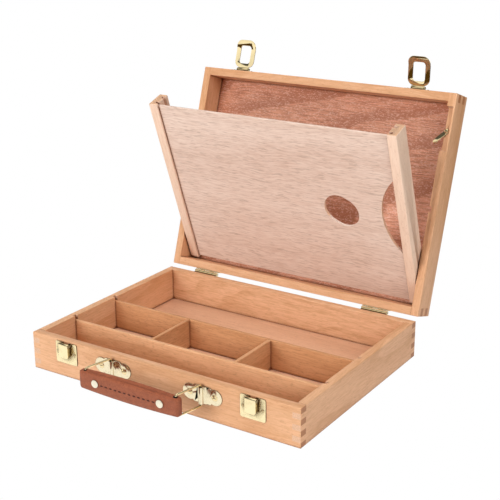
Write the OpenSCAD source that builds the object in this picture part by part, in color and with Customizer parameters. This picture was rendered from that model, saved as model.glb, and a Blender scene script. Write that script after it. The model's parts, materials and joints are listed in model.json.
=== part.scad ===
// Artist's sketch box: a finger-jointed beech box with a lid that holds a folding rack and palette.
// X is to the right, Y to the back and Z up. The origin is the centre of the base's underside.
// Every lid piece is written as it lies with the lid shut, and in_lid() swings it open.

/* [Box] */
// Outside width of the box
box_w = 360; // [320:1:420]
// Outside depth of the box, front to back
box_d = 266; // [240:1:320]
// Height of the base
base_h = 45; // [45:0.5:60]
// Thickness of the beech walls
wall = 10; // [9:0.5:12]
// Thickness of the floor panel
floor_t = 4; // [3:0.5:6]
// Width of the rebate that holds the floor or the lid panel
rebate_w = 5; // [3:0.5:7]
// Fingers in each corner joint of the base
base_fingers = 7; // [3:2:9]

/* [Lid] */
// Height of the lid with its panel
lid_h = 33; // [32:0.5:44]
// Thickness of the lid panel
lid_panel_t = 3; // [2:0.5:4]
// Fingers in each corner joint of the lid
lid_fingers = 5; // [3:2:7]
// Gap between the shut lid and the base
lid_gap = 1; // [0.8:0.1:1.4]
// Angle between the shut lid and the open lid
lid_open = 108; // [95:1:115]

/* [Dividers] */
// Thickness of every divider
divider_t = 4.5; // [3:0.5:6]
// Distance from the divider tops down to the rim
divider_drop = 5; // [3:0.5:12]
// Front face of the front divider, from the front of the box
front_divider_at = 62; // [50:1:80]
// Front face of the rear divider, from the front of the box
rear_divider_at = 136; // [110:1:160]
// Depth of the slots in the side walls
side_slot = 4; // [2:0.5:5]
// Depth of the slots in the long dividers
cross_slot = 1.2; // [0.8:0.1:1.4]
// Compartments in the middle row
middle_compartments = 3; // [2:1:4]

/* [Rack] */
// Forward tilt of the raised rack, from the lid
rack_tilt = 38; // [25:1:40]
// Width of a rack rail
rail_w = 12; // [11:0.5:14]
// Depth of a rack rail
rail_deep = 24.5; // [23:0.5:26]
// Gap between a rail and the lid's side
rail_side_gap = 1; // [0.5:0.1:2]
// Gap between the folded rack and the lid panel
rail_back_gap = 0.3; // [0.2:0.1:0.6]
// Gap between the rail tops and the lid's front rail
rail_top_gap = 4.5; // [2:0.5:8]
// Distance of the rack pivot from the inside of the lid's hinge rail
rack_pivot_in = 29.5; // [27:0.5:34]
// Distance of the rack pivot behind the rail's front
rail_pivot_back = 12.2; // [11:0.1:13]
// Gap that a swinging rail tip leaves to the hinge rail
rail_tip_gap = 0.3; // [0.2:0.1:1]
// Depth of the grooves in a rail
groove_deep = 5.5; // [4:0.5:6]
// Thickness of the rail's front lip
rail_lip = 3.3; // [2.5:0.1:4]
// Width of the rear groove, for a painting panel
panel_groove_w = 4.5; // [3:0.5:5]
// Thickness of the rail's rear lip
rear_lip = 4.5; // [3:0.5:5]
// Wood left under the palette at the closed end of its groove
groove_stop = 2.5; // [2:0.5:4]
// Diameter of the rack's pivot pins
rack_pin_d = 4; // [3:0.5:5]
// Length of a pivot pin in the rail and in the lid's side
rack_pin_hold = 6; // [4:0.5:7]

/* [Palette] */
// Thickness of the palette
palette_t = 3.2; // [2.5:0.1:4]
// Distance from the palette's top edge down to the rail tops
palette_drop = 3; // [1:0.5:6]
// Thumb hole's centre, from the palette's right edge
thumb_in = 81; // [70:1:100]
// Thumb hole's centre, from the palette's lower edge
thumb_up = 118.5; // [100:0.5:140]
// Width of the thumb hole
thumb_w = 40.5; // [25:0.5:44]
// Length of the thumb hole
thumb_l = 46.5; // [46:0.5:60]
// Slant of the thumb hole
thumb_slant = 29; // [0:1:45]
// Radius of the hand cut-out in the right edge
hand_r = 74.5; // [60:0.1:80]
// Hand cut-out's centre, outside the right edge
hand_out = 47.2; // [36:0.1:54]
// Hand cut-out's centre, from the palette's lower edge
hand_up = 122; // [100:0.1:140]

/* [Turn button] */
// Start of the button's notch, from the hinge edge of the lid
notch_from = 197; // [180:1:205]
// Length of the notch
notch_l = 53; // [50:1:56]
// Depth of the notch
notch_deep = 7; // [6:0.5:9]
// Wood left outside the notch
notch_land = 2; // [1.5:0.1:3]
// Radius of the notch's corners
notch_r = 4; // [2:0.5:5]
// Button's screw, from the start of the notch
button_at = 24; // [22.5:0.5:30]
// Button's screw, from the outer side of the notch
button_in = 5.7; // [5:0.1:5.8]
// Length of the button from its screw to its tip
button_l = 20.5; // [16:0.5:22]
// Width of the button
button_w = 5; // [3:0.5:5]
// Brass left round the screw's head in the button's eye
eye_rim = 0.2; // [0.1:0.1:0.2]
// Thickness of the brass strip of the button
button_t = 0.9; // [0.6:0.1:1.2]
// Gap under the button
button_lift = 0.15; // [0.1:0.05:0.3]
// Length of the button's slope between its eye and its tip
button_slope = 5.5; // [4:0.5:6]
// Height that the button's tip is bent up by
button_joggle = 2.1; // [1.5:0.1:3]
// Turn of the button from the lid's length with the lid open
button_turn = 40; // [20:1:60]
// Width of the shallow slot in the right rail's inner face
dado_w = 7; // [4:0.5:10]
// Depth of that slot
dado_deep = 3; // [2:0.5:5]
// Start of that slot, from the hinge edge of the lid
dado_from = 124; // [110:1:140]
// Length of that slot, from the lid's mouth
dado_l = 16; // [10:1:24]

/* [Hinges] */
// Length of a hinge
hinge_l = 35; // [30:1:50]
// Distance of each hinge's middle from the side of the box
hinge_in = 56; // [40:1:80]
// Knuckles of a hinge
hinge_knuckles = 5; // [3:2:7]
// Diameter of the hinge barrel
barrel_d = 4.8; // [4.2:0.1:5.6]
// Diameter of the hinge pin
hinge_pin_d = 2.4; // [2:0.1:2.8]
// Distance of the hinge pin behind the box
pin_back = 3.4; // [3.2:0.1:4]
// Thickness of a hinge leaf
leaf_t = 0.9; // [0.8:0.1:1.2]
// Height of a hinge leaf on the back of the box
leaf_w = 13; // [10:0.5:16]
// Radius of a leaf's far corners
leaf_r = 2; // [1:0.5:3]
// Hinge pin that shows past each end of its barrel
pin_end = 0.3; // [0.2:0.1:0.6]

/* [Latches] */
// Distance of each latch's middle from the side of the box
latch_in = 54; // [48:1:62]
// Both latches sit this far to the left of that
latch_left = 2.4; // [0:0.1:3]
// Width of a latch plate
latch_plate_w = 31; // [29:0.5:36]
// Height of a latch plate
latch_plate_h = 26; // [25:0.5:30]
// Distance from a latch plate's top down to the rim
latch_plate_drop = 1.5; // [1:0.1:2]
// Radius of its corners
latch_plate_r = 2.2; // [1:0.1:3]
// Thickness of the brass plates
plate_t = 1; // [0.8:0.1:1.1]
// Width of the notch in a latch plate's top edge
latch_notch_w = 8.4; // [6:0.2:10]
// Depth of that notch
latch_notch_h = 2.6; // [1:0.1:3]
// Latch plate screws, from the plate's ends
latch_screw_in = 3.3; // [3:0.1:4]
// Thickness of the plate's ears
ear_t = 0.7; // [0.6:0.1:0.8]
// Brass left round the pin in an ear
ear_rim = 0.8; // [0.6:0.1:1]
// Gap between the lever and the ears
ear_gap = 0.2; // [0.15:0.05:0.25]
// Width of a latch lever
lever_w = 13.4; // [12:0.1:13.5]
// Length of a latch lever
lever_l = 17.3; // [16:0.1:18]
// Length of the lever's free lower lip
lever_lip = 4; // [3:0.5:5]
// Gap between the lever's cheeks and the plate
cheek_gap = 1; // [0.8:0.1:1.2]
// Distance from a lever's top down to the rim
lever_drop = 1.6; // [1.4:0.1:2.2]
// Height of a lever's front over the box
lever_out = 6.3; // [6:0.1:7]
// Thickness of a lever's sheet
lever_t = 0.9; // [0.7:0.1:1.1]
// Radius of a lever's rolled top
lever_roll_r = 2.4; // [2.35:0.05:2.6]
// Height of a lever's pin over the box
lever_pin_out = 4; // [4:0.1:4.2]
// Diameter of the latch pins
latch_pin_d = 2; // [1.6:0.1:2.2]
// Outside width of a latch loop
loop_w = 28.7; // [27:0.1:30]
// Length of a latch loop from its pin to its end
loop_l = 38.8; // [38:0.1:39.4]
// Inside width of a latch loop
loop_hole_w = 16; // [15.8:0.1:17]
// Radius of the hole's corners
loop_hole_r = 3.6; // [1:0.1:3.8]
// Radius of a latch loop's outer corners
loop_r = 8.5; // [6.8:0.1:9]
// Width of the loop's end bar
loop_bar = 7.5; // [6:0.5:8]
// Start of the loop's opening, from its pin
loop_neck = 8; // [7:0.5:10]
// Thickness of a loop's sheet
loop_t = 1.2; // [0.9:0.1:1.2]
// Angle that the loop's end is bent by
loop_bend = 17; // [10:1:18]
// Length of the loop before its bend
loop_bend_at = 26.8; // [25:0.1:28]
// Lean of the right loop, from the lid
right_loop_lean = 16; // [0:1:30]
// Height of the loops' pins over the lid's front
loop_out = 3; // [2.9:0.1:3.4]
// Distance of the loops' pins from the lid's mouth
loop_up = 14; // [13.5:0.1:15]
// Width of a loop's bracket
loop_bracket_w = 33; // [32:0.5:36]
// Height of a loop's bracket
loop_bracket_h = 12; // [10:0.5:14]
// Loop bracket screws, from the bracket's ends
loop_screw_in = 3.4; // [3:0.1:4]
// Thickness of the bracket's lugs
lug_t = 1.2; // [0.9:0.1:1.4]
// Thickness of the sheet rolled round a loop's pin
loop_roll = 0.9; // [0.8:0.05:1]
// Play between a loop's rolled end and its opening's width
loop_roll_in = 0.6; // [0.4:0.1:1]

/* [Handle] */
// Distance of each handle bracket from the box's middle
handle_x = 60.5; // [50:0.5:70]
// Height of the handle over the underside
handle_z = 29; // [24:0.5:30]
// Width of a handle bracket
bracket_w = 50; // [46:1:56]
// Height of a handle bracket
bracket_h = 20; // [18:0.5:20]
// Radius of the lobe at each end of a bracket
bracket_lobe_r = 9; // [7:0.5:9.5]
// Bracket screws, from the bracket's ends
bracket_screw_in = 9; // [8:0.5:10]
// Width of the saddle at its foot
saddle_w = 11.5; // [9:0.5:14]
// Thickness of the saddle round the ring wire
saddle_t = 1.7; // [1.2:0.1:1.8]
// Bracket left above and below the saddle
saddle_end = 0.4; // [0.2:0.1:1]
// Height of the ring's pivot leg over the box
ring_out = 3; // [2.9:0.1:3.4]
// Diameter of the ring wire
ring_wire = 2.4; // [2:0.1:2.6]
// Length of a ring
ring_l = 34.5; // [30:0.5:40]
// Height of a ring
ring_h = 24.6; // [24:0.1:26]
// Swing of the handle to the left of straight out
handle_swing = 12.5; // [0:0.5:30]
// Height of the leather grip
grip_h = 20.8; // [18:0.1:21]
// Thickness of the grip at its ends
grip_t = 9; // [8:0.5:9.5]
// Bow of the grip's front face
grip_bow = 1; // [0.5:0.1:1.5]
// Leather beyond the ring wires
grip_end = 7; // [6:0.5:8]
// Distance of the rivets from the grip's ends
rivet_in = 24; // [18:0.5:30]
// Diameter of the rivets
rivet_d = 9; // [6:0.5:10]
// Diameter of a rivet's shank
rivet_shank_d = 4.5; // [3:0.5:5]
// Thickness of a rivet's head
rivet_head = 0.8; // [0.5:0.1:1]

/* [Screws] */
// Head diameter of the handle bracket screws
bracket_screw_d = 7.5; // [5:0.5:8]
// Head diameter of the small brass screws
small_screw_d = 4; // [3:0.1:4.2]
// Head diameter of the turn button's screw
button_screw_d = 5.6; // [4:0.1:5.6]
// Length of the screws in the wood
screw_l = 7; // [5:0.5:8]
// Diameter of the screws' shanks
shank_d = 2.2; // [1.8:0.1:2.4]
// Height of the round screw heads
head_h = 1; // [0.8:0.1:1.1]
// Head diameter of the hinge screws
leaf_screw_d = 4.4; // [3.6:0.1:5]

/* [Clearances] */
// Running clearance of pins and wires, on the radius
run_fit = 0.05; // [0.02:0.01:0.08]
// Clearance of fixed pieces in their seats
seat_fit = 0.05; // [0.02:0.01:0.1]
// Clearance of the palette in its grooves
slide_fit = 0.15; // [0.1:0.05:0.25]
// Gap between neighbouring knuckles
knuckle_gap = 0.2; // [0.1:0.05:0.4]
// Play of the handle's free pivot, on the radius
free_pivot_play = 0.3; // [0.2:0.05:0.5]

/* [Hidden] */
$fn = 48;

// A cut runs this far past the face it opens
past = 1;

front_y = -box_d / 2;
back_y = box_d / 2;
side_x = box_w / 2;
inner_x = side_x - wall;
inner_y = back_y - wall;

// The shut lid
lid_z = base_h + lid_gap;
lid_top = lid_z + lid_h;
lid_deep = lid_h - lid_panel_t;
pin_y = back_y + pin_back;
pin_z = base_h + lid_gap / 2;

// The rack, measured from its pivot: up the rail is -Y and into the lid is +Z
rail_front = -rail_pivot_back;
rail_rear = rail_front + rail_deep;
rack_pivot_z = lid_z + lid_deep - rail_back_gap - rail_rear;
rack_pivot_y = inner_y - rack_pivot_in;
rail_outer_x = inner_x - rail_side_gap;
rail_inner_x = rail_outer_x - rail_w;
rail_top = box_d - 2 * wall - rack_pivot_in - rail_top_gap;
hinge_x = side_x - hinge_in;
rail_tip = sqrt(pow(rack_pivot_in - rail_tip_gap, 2) - pow(rail_pivot_back, 2));
palette_groove_w = palette_t + 2 * slide_fit;
palette_front = rail_front + rail_lip + slide_fit;
palette_low = rail_tip - groove_stop;
palette_top = rail_top - palette_drop;
palette_x = rail_inner_x + groove_deep - slide_fit;

// The turn button
button_x = side_x - notch_land - button_in;
button_y = back_y - notch_from - button_at;
button_z = lid_z + notch_deep;

// Latches
latch_x = [latch_in - side_x - latch_left, side_x - latch_in - latch_left];
latch_plate_z = base_h - latch_plate_drop - latch_plate_h / 2;
lever_top = base_h - lever_drop;
lever_pin_z = lever_top - lever_roll_r;
loop_z = lid_z + loop_up;
ear_x = lever_w / 2 + ear_gap;
loop_barrel = loop_hole_w - loop_roll_in;
loop_barrel_r = latch_pin_d / 2 + loop_roll;
lug_x = loop_barrel / 2 + knuckle_gap;

// Handle
saddle_r = ring_wire / 2 + saddle_t;
grip_x = -ring_l * sin(handle_swing);
grip_y = front_y - ring_out - ring_l * cos(handle_swing);
bracket_screw_x = bracket_w / 2 - bracket_screw_in;

// Screws
leaf_screw_in = leaf_w * 0.6;
leaf_screw_x = [-hinge_l / 3, 0, hinge_l / 3];
latch_screw_x = latch_plate_w / 2 - latch_screw_in;
loop_screw_x = loop_bracket_w / 2 - loop_screw_in;

// ---- Frames ----

// Swings a piece of the shut lid open round the hinge pins
module in_lid() {
    translate([0, pin_y, pin_z])
        rotate([-lid_open, 0, 0])
            translate([0, -pin_y, -pin_z])
                children();
}

// Places a piece drawn round the rack's pivot, and tips it forward out of the lid
module in_rack() {
    in_lid()
        translate([0, rack_pivot_y, rack_pivot_z])
            rotate([rack_tilt, 0, 0])
                children();
}

// Stands a drawing on the front of the box: X right, Y up, Z out of the face
module on_front(x, z) {
    translate([x, front_y, z])
        rotate([90, 0, 0])
            children();
}

// Places a handle ring's own frame: its pivot leg on Z and its length along -Y
module on_ring(x, swing) {
    translate([x, front_y - ring_out, handle_z])
        rotate([0, 0, -swing])
            children();
}

// ---- Shared shapes ----

module rounded_rect(w, h, r) {
    square([w - 2 * r, h], center = true);
    square([w, h - 2 * r], center = true);
    for (sx = [-1, 1], sy = [-1, 1])
        translate([sx * (w / 2 - r), sy * (h / 2 - r)])
            circle(r);
}

module x_cylinder(d, l) {
    rotate([0, 90, 0])
        cylinder(d = d, h = l, center = true);
}

// Extrudes a drawing of (Y, Z) along X, centred
module along_x(l) {
    translate([-l / 2, 0, 0])
        rotate([90, 0, 90])
            linear_extrude(l)
                children();
}

// Every second finger of a corner joint, cut from the corner block between two Y values
module finger_cuts(z, h, count, first, x_from, x_to, y_from, y_to) {
    for (i = [first : 2 : count - 1]) {
        low = i == 0 ? -past : i * h / count;
        high = i == count - 1 ? h + past : (i + 1) * h / count;
        translate([x_from, y_from, z + low])
            cube([x_to - x_from, y_to - y_from, high - low]);
    }
}

// A board across the box whose ends keep the odd or the even fingers
module cross_board(z, h, count, first, y_from) {
    difference() {
        translate([-side_x, y_from, z])
            cube([box_w, wall, h]);
        for (s = [-1, 1])
            finger_cuts(z, h, count, first,
                min(s * inner_x, s * (side_x + past)), max(s * inner_x, s * (side_x + past)),
                y_from - past, y_from + wall + past);
    }
}

// A board along the side of the box
module side_board(z, h, count, first, side) {
    x_from = side > 0 ? inner_x : -side_x;
    difference() {
        translate([x_from, front_y, z])
            cube([wall, box_d, h]);
        finger_cuts(z, h, count, first, x_from - past, x_from + wall + past, front_y - past, -inner_y);
        finger_cuts(z, h, count, first, x_from - past, x_from + wall + past, inner_y, back_y + past);
    }
}

// The rebate that a panel lies in, cut after the frame is glued
module panel_rebate(z, t) {
    translate([-inner_x - rebate_w, -inner_y - rebate_w, z])
        cube([2 * (inner_x + rebate_w), 2 * (inner_y + rebate_w), t]);
}

module panel(z, t) {
    reach_x = inner_x + rebate_w - seat_fit;
    reach_y = inner_y + rebate_w - seat_fit;
    translate([-reach_x, -reach_y, z])
        cube([2 * reach_x, 2 * reach_y, t]);
}

// A round-headed screw along Z, with the underside of its head at 0
module screw(head_d, length) {
    dome_r = (head_h * head_h + head_d * head_d / 4) / (2 * head_h);
    translate([0, 0, -length])
        cylinder(d = shank_d, h = length + head_h / 4);
    difference() {
        intersection() {
            translate([0, 0, head_h - dome_r])
                sphere(dome_r);
            cylinder(d = head_d, h = head_h);
        }
        translate([-head_d / 2, -head_d / 16, head_h * 0.5])
            cube([head_d, head_d / 8, head_h]);
    }
}

// The hole of such a screw, and of every plate on it
module screw_hole(length) {
    translate([0, 0, -length - seat_fit])
        cylinder(d = shank_d + 2 * seat_fit, h = length + seat_fit + past);
}

// ---- Base ----

module floor_rebate() {
    panel_rebate(-past, floor_t + past);
}

module base_front_wall() {
    color("burlywood")
        difference() {
            cross_board(0, base_h, base_fingers, 1, front_y);
            floor_rebate();
            at_latch_screws() screw_hole(screw_l);
            at_bracket_screws() screw_hole(screw_l);
        }
}

module base_back_wall() {
    color("burlywood")
        difference() {
            cross_board(0, base_h, base_fingers, 1, inner_y);
            floor_rebate();
            at_leaf_screws(base_h - leaf_screw_in) screw_hole(screw_l);
        }
}

module side_wall(side) {
    color("burlywood")
        difference() {
            side_board(0, base_h, base_fingers, 0, side);
            floor_rebate();
            for (at = [front_divider_at, rear_divider_at])
                translate([side > 0 ? inner_x - past : -inner_x - side_slot, front_y + at, floor_t])
                    cube([side_slot + past, divider_t, base_h]);
        }
}

module base_left_side() {
    side_wall(-1);
}

module base_right_side() {
    side_wall(1);
}

module base_floor() {
    color("sienna")
        panel(0, floor_t);
}

// ---- Dividers ----

divider_h = base_h - divider_drop - floor_t;
// Middles of the cross dividers, which part the middle row evenly
cross_xs = [for (i = [1 : middle_compartments - 1])
    -inner_x + i * (2 * inner_x - (middle_compartments - 1) * divider_t) / middle_compartments
        + (i - 0.5) * divider_t];

// Slots for the cross dividers, opening at one face of a long divider
module cross_slots(y) {
    for (x = cross_xs)
        translate([x - divider_t / 2, y, floor_t - past])
            cube([divider_t, cross_slot + past, divider_h + 2 * past]);
}

module long_divider(at) {
    reach = inner_x + side_slot - seat_fit;
    translate([-reach, front_y + at + seat_fit, floor_t])
        cube([2 * reach, divider_t - 2 * seat_fit, divider_h]);
}

module front_divider() {
    color("burlywood")
        difference() {
            long_divider(front_divider_at);
            cross_slots(front_y + front_divider_at + divider_t - cross_slot);
        }
}

module rear_divider() {
    color("burlywood")
        difference() {
            long_divider(rear_divider_at);
            cross_slots(front_y + rear_divider_at - past);
        }
}

module cross_dividers() {
    y_from = front_y + front_divider_at + divider_t - cross_slot + seat_fit;
    y_to = front_y + rear_divider_at + cross_slot - seat_fit;
    color("burlywood")
        for (x = cross_xs)
            translate([x - divider_t / 2 + seat_fit, y_from, floor_t])
                cube([divider_t - 2 * seat_fit, y_to - y_from, divider_h]);
}

// ---- Lid ----

module lid_rebate() {
    panel_rebate(lid_top - lid_panel_t, lid_panel_t + past);
}

module lid_front_rail() {
    color("burlywood")
        in_lid()
            difference() {
                cross_board(lid_z, lid_h, lid_fingers, 0, front_y);
                lid_rebate();
                at_loop_screws() screw_hole(screw_l);
            }
}

module lid_hinge_rail() {
    color("burlywood")
        in_lid()
            difference() {
                cross_board(lid_z, lid_h, lid_fingers, 0, inner_y);
                lid_rebate();
                at_leaf_screws(lid_z + leaf_screw_in) screw_hole(screw_l);
            }
}

// The blind holes of the rack's pivot pins
module rack_pin_holes(r_extra) {
    for (s = [-1, 1])
        translate([s * rail_outer_x + s * rail_side_gap / 2, rack_pivot_y, rack_pivot_z])
            x_cylinder(rack_pin_d + 2 * r_extra, 2 * rack_pin_hold + rail_side_gap + 2 * seat_fit);
}

module lid_left_rail() {
    color("burlywood")
        in_lid()
            difference() {
                side_board(lid_z, lid_h, lid_fingers, 1, -1);
                lid_rebate();
                rack_pin_holes(seat_fit);
            }
}

// The notch's outline: (length, depth) from its end at the lid's mouth
module notch_outline() {
    translate([notch_r, -past])
        square([notch_l - 2 * notch_r, notch_deep + past]);
    translate([0, -past])
        square([notch_l, notch_deep - notch_r + past]);
    for (x = [notch_r, notch_l - notch_r])
        translate([x, notch_deep - notch_r])
            circle(notch_r);
}

module lid_right_rail() {
    color("burlywood")
        in_lid()
            difference() {
                side_board(lid_z, lid_h, lid_fingers, 1, 1);
                lid_rebate();
                rack_pin_holes(seat_fit);
                translate([(inner_x - past + side_x - notch_land) / 2, back_y - notch_from - notch_l, lid_z])
                    along_x(wall - notch_land + past)
                        notch_outline();
                translate([inner_x - past, back_y - dado_from - dado_w, lid_z - past])
                    cube([dado_deep + past, dado_w, dado_l + past]);
                translate([button_x, button_y, button_z])
                    mirror([0, 0, 1])
                        screw_hole(screw_l);
            }
}

module lid_panel() {
    color("peru")
        in_lid()
            panel(lid_top - lid_panel_t, lid_panel_t);
}

// ---- Hinges ----

// The knuckles of both hinges that belong to one leaf, each with the web that joins it to the leaf
module knuckles(first, web_z) {
    pitch = hinge_l / hinge_knuckles;
    for (s = [-1, 1], i = [first : 2 : hinge_knuckles - 1])
        translate([s * hinge_x - hinge_l / 2 + (i + 0.5) * pitch, 0, 0]) {
            translate([0, pin_y, pin_z])
                x_cylinder(barrel_d, pitch - knuckle_gap);
            translate([-(pitch - knuckle_gap) / 2, back_y, web_z])
                cube([pitch - knuckle_gap, pin_back, leaf_t]);
        }
}

// Places a drawing on the back of the box, at the middle of each hinge, with Y up and Z out
module at_hinges(z) {
    for (s = [-1, 1])
        translate([s * hinge_x, back_y, z])
            rotate([90, 0, 180])
                children();
}

// Places a drawing at every screw of the hinge leaves at one height
module at_leaf_screws(z) {
    at_hinges(z)
        for (dx = leaf_screw_x)
            translate([dx, 0, 0])
                children();
}

// Two leaves on the back of the box, joined to their knuckles. They reach from edge_z up or down
module leaves(edge_z, direction, first) {
    difference() {
        union() {
            at_hinges(edge_z + direction * leaf_w / 2)
                linear_extrude(leaf_t) {
                    rounded_rect(hinge_l, leaf_w, leaf_r);
                    translate([-hinge_l / 2, direction > 0 ? -leaf_w / 2 : 0])
                        square([hinge_l, leaf_w / 2]);
                }
            knuckles(first, direction > 0 ? edge_z : edge_z - leaf_t);
        }
        for (s = [-1, 1])
            translate([s * hinge_x, pin_y, pin_z])
                x_cylinder(hinge_pin_d + 2 * run_fit, hinge_l + 2 * past);
        at_leaf_screws(edge_z + direction * leaf_screw_in) sunk_head(seat_fit);
    }
}

// A countersunk screw head, as thick as the leaf that it fills
module sunk_head(extra) {
    cylinder(d1 = shank_d + 2 * extra, d2 = leaf_screw_d + 2 * extra, h = leaf_t);
}

module hinge_base_leaves() {
    color("gold")
        leaves(base_h, -1, 0);
}

module hinge_lid_leaves() {
    color("gold")
        in_lid()
            leaves(lid_z, 1, 1);
}

module hinge_pins() {
    color("goldenrod")
        for (s = [-1, 1])
            translate([s * hinge_x, pin_y, pin_z])
                x_cylinder(hinge_pin_d, hinge_l + 2 * pin_end);
}

module leaf_screw() {
    sunk_head(0);
    translate([0, 0, -screw_l])
        cylinder(d = shank_d, h = screw_l);
}

module hinge_base_screws() {
    color("goldenrod")
        at_leaf_screws(base_h - leaf_screw_in) leaf_screw();
}

module hinge_lid_screws() {
    color("goldenrod")
        in_lid()
            at_leaf_screws(lid_z + leaf_screw_in) leaf_screw();
}

// ---- Latches ----

module at_latch_screws() {
    for (x = latch_x, dx = [-latch_screw_x, latch_screw_x])
        on_front(x + dx, latch_plate_z)
            children();
}

// A plate with a thumb notch in its top edge and two ears for the lever's pin
module latch_plate(x) {
    pin_up = lever_pin_z - latch_plate_z;
    ear_r = latch_pin_d / 2 + ear_rim;
    cut_r = (pow(latch_notch_w / 2, 2) + pow(latch_notch_h, 2)) / (2 * latch_notch_h);
    color("gold")
        on_front(x, latch_plate_z)
            difference() {
                union() {
                    linear_extrude(plate_t)
                        difference() {
                            rounded_rect(latch_plate_w, latch_plate_h, latch_plate_r);
                            translate([0, latch_plate_h / 2 - latch_notch_h + cut_r])
                                circle(cut_r);
                        }
                    for (s = [-1, 1])
                        translate([s * (ear_x + ear_t / 2), pin_up, 0]) {
                            translate([0, 0, lever_pin_out])
                                x_cylinder(2 * ear_r, ear_t);
                            translate([-ear_t / 2, -ear_r, 0])
                                cube([ear_t, 2 * ear_r, lever_pin_out]);
                        }
                }
                translate([0, pin_up, lever_pin_out])
                    x_cylinder(latch_pin_d + 2 * seat_fit, 4 * ear_x);
                for (dx = [-latch_screw_x, latch_screw_x])
                    translate([dx, 0, 0])
                        screw_hole(screw_l);
            }
}

module left_latch_plate() {
    latch_plate(latch_x[0]);
}

module right_latch_plate() {
    latch_plate(latch_x[1]);
}

// A lever bent from sheet: rolled round the pin at its top, with a cheek on each side and a free
// lower lip
module latch_lever(x) {
    cheek_in = plate_t + cheek_gap;
    cheek_low = lever_l - lever_lip;
    lip_r = 3;
    color("gold")
        on_front(x, lever_top)
            difference() {
                union() {
                    translate([0, -lever_l, lever_out - lever_t])
                        linear_extrude(lever_t)
                            difference() {
                                translate([0, lever_l / 2])
                                    rounded_rect(lever_w, lever_l, lip_r);
                                translate([-lever_w, lever_l - lever_roll_r])
                                    square([2 * lever_w, 2 * lever_roll_r]);
                            }
                    intersection() {
                        translate([0, -lever_roll_r, lever_pin_out])
                            x_cylinder(2 * lever_roll_r, lever_w);
                        translate([-lever_w, -lever_l, 0])
                            cube([2 * lever_w, 2 * lever_l, lever_out]);
                    }
                    for (s = [-1, 1])
                        translate([s * (lever_w - lever_t) / 2 - lever_t / 2, -cheek_low, cheek_in])
                            cube([lever_t, cheek_low - lever_roll_r, lever_out - cheek_in]);
                }
                translate([0, -lever_roll_r, lever_pin_out])
                    x_cylinder(latch_pin_d + 2 * run_fit, 2 * lever_w);
            }
}

module left_latch_lever() {
    latch_lever(latch_x[0]);
}

module right_latch_lever() {
    latch_lever(latch_x[1]);
}

module latch_lever_pins() {
    color("goldenrod")
        for (x = latch_x)
            on_front(x, lever_pin_z)
                translate([0, 0, lever_pin_out])
                    x_cylinder(latch_pin_d, 2 * (ear_x + ear_t));
}

module latch_plate_screws() {
    color("goldenrod")
        at_latch_screws()
            translate([0, 0, plate_t])
                screw(small_screw_d * 0.75, plate_t + screw_l);
}

module at_loop_screws() {
    for (x = latch_x, dx = [-loop_screw_x, loop_screw_x])
        on_front(x + dx, loop_z)
            children();
}

// A bracket on the lid with two lugs that hold a loop's pin
module loop_bracket(x) {
    lug_r = latch_pin_d / 2 + lug_t;
    color("gold")
        in_lid()
            on_front(x, loop_z)
                difference() {
                    union() {
                        linear_extrude(plate_t)
                            rounded_rect(loop_bracket_w, loop_bracket_h, 3);
                        for (s = [-1, 1])
                            translate([s * (lug_x + lug_t / 2), 0, 0]) {
                                translate([0, 0, loop_out])
                                    x_cylinder(2 * lug_r, lug_t);
                                translate([-lug_t / 2, -lug_r, 0])
                                    cube([lug_t, 2 * lug_r, loop_out]);
                            }
                    }
                    translate([0, 0, loop_out])
                        x_cylinder(latch_pin_d + 2 * seat_fit, 4 * lug_x);
                    for (dx = [-loop_screw_x, loop_screw_x])
                        translate([dx, 0, 0])
                            screw_hole(screw_l);
                }
}

module left_loop_bracket() {
    loop_bracket(latch_x[0]);
}

module right_loop_bracket() {
    loop_bracket(latch_x[1]);
}

// The loop's outline from the front, with its bent end foreshortened: X across and Y away from the pin
module loop_outline() {
    start = loop_barrel_r + 0.7;
    reach = loop_bend_at + (loop_l - loop_bend_at) * cos(loop_bend);
    hole_end = reach - loop_bar * cos(loop_bend);
    difference() {
        translate([0, (start + reach) / 2])
            rounded_rect(loop_w, reach - start, loop_r);
        translate([0, (loop_neck + hole_end) / 2])
            rounded_rect(loop_hole_w, hole_end - loop_neck, loop_hole_r);
    }
    translate([-loop_barrel / 2, 0])
        square([loop_barrel, loop_neck]);
}

// The side view of the loop's sheet, flat from the pin and then bent towards the box
module loop_profile() {
    half = loop_t / 2;
    mitre = half * tan(loop_bend / 2);
    run = loop_l;
    along = [cos(loop_bend), sin(loop_bend)];
    polygon([
        [0, -half],
        [loop_bend_at + mitre, -half],
        [loop_bend_at + mitre, -half] + run * along,
        [loop_bend_at - mitre, half] + run * along,
        [loop_bend_at - mitre, half],
        [0, half]
    ]);
}

// A stamped loop: its near end rolled round the pin, its far end bent towards the box
module latch_loop(x, lean) {
    color("gold")
        in_lid()
            on_front(x, loop_z)
                translate([0, 0, loop_out])
                    rotate([lean, 0, 0])
                        rotate([90, 0, 0])
                            difference() {
                                union() {
                                    x_cylinder(2 * loop_barrel_r, loop_barrel);
                                    intersection() {
                                        along_x(2 * loop_w)
                                            loop_profile();
                                        translate([0, 0, -loop_l])
                                            linear_extrude(2 * loop_l)
                                                loop_outline();
                                    }
                                }
                                x_cylinder(latch_pin_d + 2 * run_fit, 2 * loop_w);
                            }
}

module left_latch_loop() {
    latch_loop(latch_x[0], 0);
}

module right_latch_loop() {
    latch_loop(latch_x[1], right_loop_lean);
}

module loop_pins() {
    color("goldenrod")
        in_lid()
            for (x = latch_x)
                on_front(x, loop_z)
                    translate([0, 0, loop_out])
                        x_cylinder(latch_pin_d, 2 * (lug_x + lug_t));
}

module loop_bracket_screws() {
    color("goldenrod")
        in_lid()
            at_loop_screws()
                translate([0, 0, plate_t])
                    screw(small_screw_d, plate_t + screw_l);
}

// ---- Handle ----

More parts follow.
